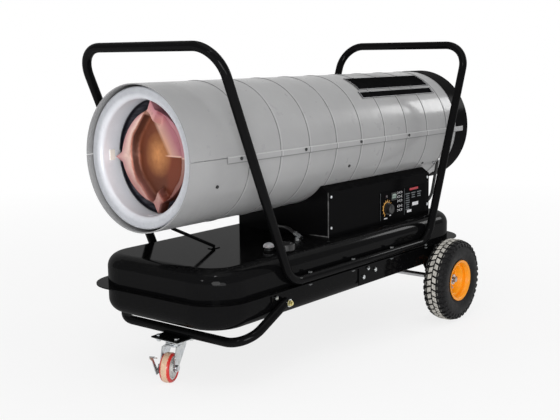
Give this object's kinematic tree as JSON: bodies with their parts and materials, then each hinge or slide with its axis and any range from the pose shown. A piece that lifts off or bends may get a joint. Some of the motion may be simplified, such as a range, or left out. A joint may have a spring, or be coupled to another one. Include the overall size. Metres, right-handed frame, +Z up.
{
  "type": "forced air heater",
  "caption": "Wheeled forced air heater: beaded drum over a control box and fuel tank, tube handles, rear wheels and a braked swivel caster.",
  "frame": {"origin": "on the floor, under the middle of the drum with its rear guard", "axes": "+X from the hot air outlet back to the air intake, -Y the control panel side, +Z up"},
  "size_m": [1.371, 0.6918, 0.8853],
  "materials": {
    "drum_paint": "gloss",
    "black_paint": "satin",
    "tank_paint": "gloss",
    "frame_paint": "satin",
    "panel_paint": "satin",
    "galvanised": "satin",
    "heated_steel": "satin",
    "zinc_plate": "satin",
    "steel": "satin",
    "brass": "satin",
    "cast_aluminium": "matte",
    "ceramic": "gloss",
    "black_plastic": "matte",
    "board_green": "satin",
    "switch_green": "gloss",
    "lamp_lens": "gloss",
    "gauge_clear": "gloss",
    "pointer_red": "gloss",
    "hose_rubber": "matte",
    "tyre_rubber": "matte",
    "rim_orange": "gloss",
    "caster_red": "satin",
    "caster_hub_grey": "satin",
    "float_plastic": "matte"
  },
  "bodies": {
    "heater": {"upper_shell": "drum_paint", "lower_shell": "drum_paint", "outlet_collar": "galvanised", "combustion_chamber": "heated_steel", "chamber_supports": "galvanised", "flame_spreader": "heated_steel", "burner_head": "steel", "fuel_nozzle": "brass", "spark_electrodes": "ceramic", "flame_sensor": "black_plastic", "motor_mount": "zinc_plate", "motor_body": "cast_aluminium", "pump_housing": "cast_aluminium", "pump_cover": "cast_aluminium", "rear_guard": "black_paint", "rear_grille": "black_paint", "control_box": "black_paint", "near_side_cover": "black_paint", "far_side_cover": "black_paint", "sheet_screws": "zinc_plate", "control_panel": "panel_paint", "switch_bezel": "black_plastic", "pilot_lamp": "lamp_lens", "control_board": "board_green", "ignition_transformer": "black_plastic", "motor_capacitor": "cast_aluminium", "tank_upper": "tank_paint", "tank_lower": "tank_paint", "filler_neck": "tank_paint", "gauge_body": "black_plastic", "gauge_lens": "gauge_clear", "tank_fittings": "zinc_plate", "fuel_hose": "hose_rubber", "air_hose": "hose_rubber", "front_handle": "frame_paint", "rear_handle": "frame_paint", "rail_sleeves": "steel", "frame_bolts": "zinc_plate", "front_frame": "frame_paint", "front_stay": "frame_paint", "caster_plate": "zinc_plate", "axle_brackets": "frame_paint", "axle": "steel", "axle_washers": "zinc_plate"},
    "fan_rotor": {"fan": "cast_aluminium", "motor_shaft": "steel"},
    "thermostat": {"thermostat_knob": "black_plastic"},
    "switch_rocker": {"power_switch": "switch_green"},
    "cap": {"fuel_cap": "black_plastic"},
    "float": {"gauge_float": "float_plastic"},
    "pointer": {"gauge_pointer": "pointer_red"},
    "near_wheel": {"near_tyre": "tyre_rubber", "near_rim": "rim_orange"},
    "far_wheel": {"far_tyre": "tyre_rubber", "far_rim": "rim_orange"},
    "caster_swivel_fork": {"caster_fork": "zinc_plate", "caster_axle": "zinc_plate"},
    "caster_wheel": {"caster_hub": "caster_hub_grey", "caster_tyre": "caster_red"},
    "brake": {"brake_pedal": "zinc_plate"}
  },
  "joints": [
    {"name": "fan_spin", "type": "hinge", "parent": "heater", "child": "fan_rotor", "pos_m": [0.2995, 0, 0.597], "axis": [1, 0, 0], "continuous": true},
    {"name": "thermostat_turn", "type": "hinge", "parent": "heater", "child": "thermostat", "pos_m": [0.2035, -0.171, 0.369], "axis": [0, -1, 0], "range_deg": [0, 270]},
    {"name": "switch_rock", "type": "hinge", "parent": "heater", "child": "switch_rocker", "pos_m": [0.2395, -0.1685, 0.404], "axis": [1, 0, 0], "range_deg": [-20, 0]},
    {"name": "fuel_cap_turn", "type": "hinge", "parent": "heater", "child": "cap", "pos_m": [-0.3205, -0.18, 0.34], "axis": [0, 0, 1], "range_deg": [0, 90]},
    {"name": "float_swing", "type": "hinge", "parent": "heater", "child": "float", "pos_m": [-0.3405, -0.14, 0.252], "axis": [0, 1, 0], "range_deg": [-54, 0]},
    {"name": "pointer_turn", "type": "hinge", "parent": "heater", "child": "pointer", "pos_m": [-0.3405, -0.14, 0.338], "axis": [0, 0, 1], "range_deg": [0, 108]},
    {"name": "near_wheel_roll", "type": "hinge", "parent": "heater", "child": "near_wheel", "pos_m": [0.3729, -0.308, 0.13], "axis": [0, 1, 0], "continuous": true},
    {"name": "far_wheel_roll", "type": "hinge", "parent": "heater", "child": "far_wheel", "pos_m": [0.3729, 0.308, 0.13], "axis": [0, 1, 0], "continuous": true},
    {"name": "caster_swivel", "type": "hinge", "parent": "heater", "child": "caster_swivel_fork", "pos_m": [-0.5685, 0, 0.1], "axis": [0, 0, 1], "continuous": true},
    {"name": "caster_roll", "type": "hinge", "parent": "caster_swivel_fork", "child": "caster_wheel", "pos_m": [-0.61022, -0.01686, 0.04], "axis": [-0.3746, 0.9272, 0], "continuous": true},
    {"name": "brake_press", "type": "hinge", "parent": "caster_swivel_fork", "child": "brake", "pos_m": [-0.61022, -0.01686, 0.04], "axis": [-0.3746, 0.9272, 0], "range_deg": [-18, 0]}
  ],
  "couplings": [
    {"joint": "pointer_turn", "follows": "float_swing", "ratio": -2}
  ]
}
